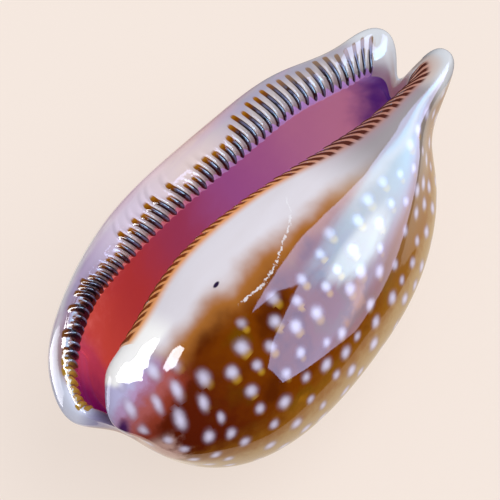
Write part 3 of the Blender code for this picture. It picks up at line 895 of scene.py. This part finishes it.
class Looks:
    """Colours and small places that the enamel's nodes share."""

    deep_brown = paint(88, 36, 4)
    chestnut = paint(116, 55, 3)
    olive = paint(110, 68, 4)
    gold = paint(160, 106, 14)
    red_brown = paint(86, 26, 8)
    front_tan = paint(152, 112, 66)
    front_stone = paint(142, 132, 126)
    flank_gold = paint(150, 98, 30)
    flank_tan = paint(176, 146, 100)
    spot = paint(216, 214, 244)
    spot_halo = paint(150, 136, 160)
    deep_spot = paint(190, 148, 40)
    deep_spot_shift = (-0.38, -1.4, -0.64)
    spot_slant = (-0.45, -0.80, -0.40)
    lavender = paint(186, 182, 220)
    lilac = paint(180, 146, 186)
    mauve = paint(166, 108, 132)
    rose_red = paint(166, 88, 86)
    brick = paint(136, 56, 40)
    end_pink = paint(196, 160, 152)
    # painted shade in the hollow at the back corner
    end_shade_purple = paint(74, 36, 92)
    shade_corner = (-53.4, -2.6, 40.0)
    border_tan = paint(168, 106, 48)
    border_beige = paint(194, 160, 130)
    cream_low = paint(220, 214, 222)
    cream_high = paint(230, 227, 238)
    # painted highlight: pure white at the back end of the inner lip
    back_highlight_white = paint(255, 255, 255)
    front_grey = paint(150, 143, 148)
    front_rose = paint(158, 138, 148)
    rim_blue = paint(226, 226, 242)
    rim_white = paint(252, 250, 255)
    rim_pink = paint(250, 224, 236)
    rim_rose = paint(244, 208, 204)
    rim_grey = paint(196, 190, 204)
    rim_cream = paint(252, 244, 234)
    top_mauve = paint(156, 126, 128)
    top_violet = paint(168, 154, 188)
    top_pink = paint(214, 200, 220)
    top_cream = paint(224, 206, 206)
    top_lilac = paint(172, 166, 190)
    top_grey = paint(172, 168, 180)
    lip_mauve = paint(206, 172, 206)
    lip_smudge = paint(104, 68, 52)
    horn_white = paint(214, 218, 226)
    horn_pink = paint(206, 186, 178)
    foot_blue = paint(214, 220, 242)
    foot_deep = paint(132, 136, 182)
    groove_pale = paint(202, 192, 192)
    # painted shade in the grooves between the back teeth
    groove_shade = paint(52, 36, 34)
    tooth_ochre = paint(156, 100, 20)
    tooth_orange = paint(122, 66, 8)
    tooth_brown = paint(58, 28, 14)
    tooth_slate = paint(26, 20, 28)
    tooth_black = paint(16, 9, 14)
    tooth_dull = paint(140, 124, 112)
    tooth_smoky = paint(92, 56, 40)
    # painted highlight along the tooth crests
    tooth_glint = paint(112, 116, 150)
    foot_gold = paint(166, 128, 48)
    foot_brown = paint(84, 46, 16)
    inner_orange = paint(238, 148, 40)
    inner_rose = paint(196, 132, 110)
    inner_brown = paint(116, 46, 4)
    inner_dark = paint(76, 28, 22)
    mouth_plum = paint(100, 8, 76)
    mouth_rose = paint(168, 56, 84)
    mouth_coral = paint(194, 76, 60)
    mouth_red = paint(178, 62, 58)
    mouth_crimson = paint(158, 64, 92)
    mouth_mauve = paint(158, 90, 148)
    mouth_pink = paint(188, 128, 156)
    mouth_violet = paint(66, 26, 116)
    wall_salmon = paint(226, 138, 128)
    wall_rose = paint(204, 122, 132)
    wall_lilac = paint(180, 148, 204)
    chip_white = paint(238, 236, 244)
    fleck_dark = paint(42, 28, 60)
    fleck = (-20.7, -1.4, 46.3)
    hairline = ((-30.0, -6.6), (-21.2, -7.3), (-15.0, -8.5), (-9.0, -7.8), (-4.8, -6.4), (-1.3, -5.4),
                (1.2, -4.1), (3.1, -1.9), (30.0, 20.0))
    outer_edge_rows = ((-60.0, 11.6), (-50.0, 11.8), (-46.0, 12.1), (-36.0, 12.6), (-24.0, 12.2),
                       (-12.0, 11.9), (14.0, 11.8), (26.0, 11.6), (60.0, 11.6))
    inner_edge_rows = ((-60.0, 12.0), (-40.0, 11.8), (-20.0, 11.4), (0.0, 11.2), (15.0, 11.2), (30.0, 11.5),
                       (60.0, 12.0))
    spot_radius = 1.25
    border_wave = 0.6
    border_rows = ((-60.0, 8.8), (-45.0, 8.8), (-38.0, 8.7), (-32.0, 8.75), (-26.0, 8.6), (-20.0, 8.5),
                   (-10.0, 8.5), (5.0, 8.5), (17.0, 8.4), (28.0, 8.3), (40.0, 8.3), (60.0, 8.3))


def new_material(name):
    """An empty material with nodes."""
    material = bpy.data.materials.new(name)
    material.use_nodes = True
    return material


def enamel_material():
    """Polished enamel: all of the shell's colours under one clear gloss, with a painted glow inside the
    mouth.
    """
    material = new_material("polished cowrie enamel")
    wire = Wiring(material.node_tree)
    shader = material.node_tree.nodes["Principled BSDF"]
    colours = EnamelColours(wire, Looks)
    outside = colours.back_end(colours.body())
    outside = colours.with_spots(outside)
    outside = colours.callus(outside)
    outside = colours.outer_lip(outside)
    outside = colours.ends(outside)
    outside = colours.marks(outside)
    outside = colours.teeth(outside)
    mouth = colours.mouth_tone()
    edge = colours.mouth_edge()
    within = wire.step(colours.row, edge, wire.plus(edge, 0.2))
    tone = wire.blend(within, outside, mouth)
    # Painted glow: the mouth's inside shines by itself in its own colour, in place of the light that would
    # reach it.
    glow = wire.both(within, MOUTH_GLOW)
    ripple = wire.noise(colours.place, 0.16, 2.0)
    bump = wire.add("ShaderNodeBump", {"Strength": 0.1, "Distance": RIPPLE_HEIGHT, "Height": ripple})
    feeds = (("Base Color", tone), ("Emission Color", tone), ("Emission Strength", glow), ("Normal", bump))
    for name, value in feeds:
        material.node_tree.links.new(value, shader.inputs[name])
    shader.inputs["Roughness"].default_value = ENAMEL_ROUGHNESS
    shader.inputs["IOR"].default_value = 1.5
    return material


# Stage

def place_in_scene(name, data):
    """A new object in the scene."""
    thing = bpy.data.objects.new(name, data)
    bpy.context.scene.collection.objects.link(thing)
    return thing


def daylight():
    """Even soft light from all round, and a broad soft light from the front right."""
    world = bpy.data.worlds.new("studio air")
    bpy.context.scene.world = world
    world.use_nodes = True
    sky = world.node_tree.nodes["Background"]
    sky.inputs["Color"].default_value = (1.0, 1.0, 1.0, 1.0)
    sky.inputs["Strength"].default_value = AIR_LIGHT
    world.cycles_visibility.glossy = False
    lamp = bpy.data.lights.new("broad light", "SUN")
    lamp.energy = BROAD_LIGHT
    lamp.angle = math.radians(70.0)
    light = place_in_scene("broad light", lamp)
    azimuth, elevation = (math.radians(value) for value in BROAD_LIGHT_FROM)
    towards = Vector((math.cos(azimuth) * math.cos(elevation), math.sin(azimuth) * math.cos(elevation),
                      math.sin(elevation)))
    light.rotation_euler = (-towards).to_track_quat("-Z", "Y").to_euler()
    light.visible_glossy = False


def pale_floor():
    """A plain pale floor under the shell, bright by itself so that the shadow stays faint."""
    mesh = bpy.data.meshes.new("floor")
    half = FLOOR_HALF
    mesh.from_pydata([(-half, -half, 0.0), (half, -half, 0.0), (half, half, 0.0), (-half, half, 0.0)],
                     [], [(0, 1, 2, 3)])
    floor = place_in_scene("floor", mesh)
    material = new_material("pale floor")
    shader = material.node_tree.nodes["Principled BSDF"]
    shader.inputs["Base Color"].default_value = [FLOOR_MATT * part for part in FLOOR_TONE[:3]] + [1.0]
    shader.inputs["Roughness"].default_value = 1.0
    shader.inputs["Specular IOR Level"].default_value = 0.0
    shader.inputs["Emission Color"].default_value = FLOOR_TONE
    shader.inputs["Emission Strength"].default_value = FLOOR_GLOW
    mesh.materials.append(material)
    floor.visible_glossy = False
    return floor


def glowing_card(name, corners, glow, hearts=()):
    """A flat glowing card that is seen only in the shell's gloss, with some soft brighter patches."""
    mesh = bpy.data.meshes.new(name)
    mesh.from_pydata([tuple(value * MM for value in corner) for corner in corners], [],
                     [list(range(len(corners)))])
    card = place_in_scene(name, mesh)
    material = new_material(name)
    tree = material.node_tree
    wire = Wiring(tree)
    light = wire.add("ShaderNodeEmission", {"Color": (*glow, 1.0), "Strength": 1.0})
    for middle, radii, tone in hearts:
        place = wire.add("ShaderNodeTexCoord", output=3)
        away = wire.vector("SUBTRACT", place, [value * MM for value in middle])
        away = wire.vector("DIVIDE", away, [value * MM for value in radii])
        uneven = wire.both(wire.noise(place, 70.0), 0.5)
        inside = wire.step(wire.plus(wire.vector("LENGTH", away, output=1), uneven), 1.5, 0.75)
        colour = light.node.inputs["Color"]
        before = colour.links[0].from_socket if colour.is_linked else (*glow, 1.0)
        light = wire.add("ShaderNodeEmission", {
            "Color": wire.blend(inside, before, (*tone, 1.0)), "Strength": 1.0})
    tree.links.new(light, tree.nodes["Material Output"].inputs["Surface"])
    mesh.materials.append(material)
    for ray in ("camera", "diffuse", "shadow", "transmission"):
        setattr(card, f"visible_{ray}", False)
    return card


def upright(azimuth, distance, corners):
    """Corners of an upright card that faces the shell: steps along it and up, in millimetres."""
    angle = math.radians(azimuth)
    away = np.array((math.cos(angle), math.sin(angle), 0.0))
    along = np.array((-math.sin(angle), math.cos(angle), 0.0))
    return [tuple(away * distance + along * side + np.array((0.0, 0.0, up))) for side, up in corners]


def reflections():
    """What the gloss shows: a tall soft screen, bright window panes, a low card and the pale ground."""
    hearts = []
    for middle, (wide, tall), tone in SCREEN_HEARTS:
        hearts.append((upright(SCREEN_AZIMUTH, SCREEN_DISTANCE, [middle])[0], (wide, wide, tall), tone))
    glowing_card("screen", upright(SCREEN_AZIMUTH, SCREEN_DISTANCE, SCREEN_OUTLINE), SCREEN_GLOW, hearts)
    for number, (pane, glow) in enumerate(zip(WINDOW_PANES, WINDOW_GLOWS)):
        glowing_card(f"window pane {number}", [(x, y, WINDOW_HEIGHT) for x, y in pane], glow)
    glowing_card("low card", LOW_CARD, LOW_GLOW)
    turns = np.arange(32) * 2.0 * np.pi / 32
    middle, radius = GROUND_GLOW_MIDDLE, GROUND_GLOW_RADIUS
    ground = [(middle[0] + radius * math.cos(a), middle[1] + radius * math.sin(a), 0.5) for a in turns]
    glowing_card("bright ground", ground, GROUND_GLOW)


def photo_camera():
    """The camera at the photo's angle and distance."""
    camera = place_in_scene("camera", bpy.data.cameras.new("camera"))
    camera.data.sensor_width = SENSOR
    camera.data.lens = SENSOR * CAMERA_DISTANCE / VIEW_WIDTH
    a, e = math.radians(CAMERA_AZIMUTH), math.radians(CAMERA_ELEVATION)
    back = Vector((math.sin(a) * math.cos(e), -math.cos(a) * math.cos(e), math.sin(e)))
    camera.location = Vector(LOOK_AT) + back * CAMERA_DISTANCE
    camera.rotation_euler = (-back).to_track_quat("-Z", "Y").to_euler()
    bpy.context.scene.camera = camera


# What a user can change, and the buttons

class CowrieShellSizes(bpy.types.PropertyGroup):
    """Sizes of what stands on the shell's surface."""

    outer_tooth: bpy.props.FloatProperty(
        name="Outer teeth", description="How high the outer lip's teeth rise", default=0.0011, unit="LENGTH")
    inner_tooth: bpy.props.FloatProperty(
        name="Inner teeth", description="How high the inner lip's teeth rise", default=0.0004, unit="LENGTH")
    unevenness: bpy.props.FloatProperty(
        name="Uneven teeth", description="How much later some teeth start than others",
        default=0.3, min=0.0, max=0.9, subtype="FACTOR")
    tooth_seed: bpy.props.IntProperty(
        name="Tooth seed", description="Picks another set of uneven teeth", default=3)
    spot_spacing: bpy.props.FloatProperty(
        name="Spot spacing", description="Least distance between two spots", default=0.0043, unit="LENGTH")
    spot_seed: bpy.props.IntProperty(
        name="Spot seed", description="Picks another scatter of spots", default=5)


class COWRIE_OT_grow_shell(bpy.types.Operator):
    """Grow the whole shell, with its teeth and its spots, as one piece"""

    bl_idname = "cowrie.grow_shell"
    bl_label = "Grow shell"

    def execute(self, context):
        sizes = context.scene.cowrie_sizes
        material = enamel_material()
        grown = place_in_scene("growing shell", shell_mesh())
        add_modifier(grown, teeth_tree(material), {
            "Outer Height": sizes.outer_tooth, "Inner Height": sizes.inner_tooth,
            "Unevenness": sizes.unevenness, "Seed": sizes.tooth_seed})
        add_modifier(grown, spots_tree(material), {
            "Spacing": sizes.spot_spacing, "Seed": sizes.spot_seed})
        graph = context.evaluated_depsgraph_get()
        mesh = bpy.data.meshes.new_from_object(
            grown.evaluated_get(graph), preserve_all_data_layers=True, depsgraph=graph)
        bpy.data.objects.remove(grown)
        mesh.name = "cowrie"
        piece = place_in_scene("cowrie", mesh)
        if not mesh.attributes.get("spot_centre"):
            raise RuntimeError("the spots left no places on the shell")
        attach(piece, "root")
        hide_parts("shell")
        return {"FINISHED"}


class COWRIE_OT_set_stage(bpy.types.Operator):
    """Lay a pale floor, light it softly and aim the camera"""

    bl_idname = "cowrie.set_stage"
    bl_label = "Set stage"

    def execute(self, context):
        pale_floor()
        daylight()
        reflections()
        photo_camera()
        context.scene.view_settings.view_transform = "Standard"
        return {"FINISHED"}


class COWRIE_PT_panel(bpy.types.Panel):
    """Sidebar panel with the shell's sizes and buttons"""

    bl_idname = "COWRIE_PT_panel"
    bl_label = "Cowrie shell"
    bl_space_type = "VIEW_3D"
    bl_region_type = "UI"
    bl_category = "Cowrie"

    def draw(self, context):
        sizes = context.scene.cowrie_sizes
        for name in CowrieShellSizes.__annotations__:
            self.layout.prop(sizes, name)
        self.layout.operator(COWRIE_OT_grow_shell.bl_idname)
        self.layout.operator(COWRIE_OT_set_stage.bl_idname)


CLASSES = (CowrieShellSizes, COWRIE_OT_grow_shell, COWRIE_OT_set_stage, COWRIE_PT_panel)


def register():
    for cls in CLASSES:
        bpy.utils.register_class(cls)
    bpy.types.Scene.cowrie_sizes = bpy.props.PointerProperty(type=CowrieShellSizes)


def unregister():
    del bpy.types.Scene.cowrie_sizes
    for cls in reversed(CLASSES):
        bpy.utils.unregister_class(cls)


def main():
    register()
    bpy.ops.cowrie.grow_shell()
    bpy.ops.cowrie.set_stage()


if __name__ == "__main__":
    main()
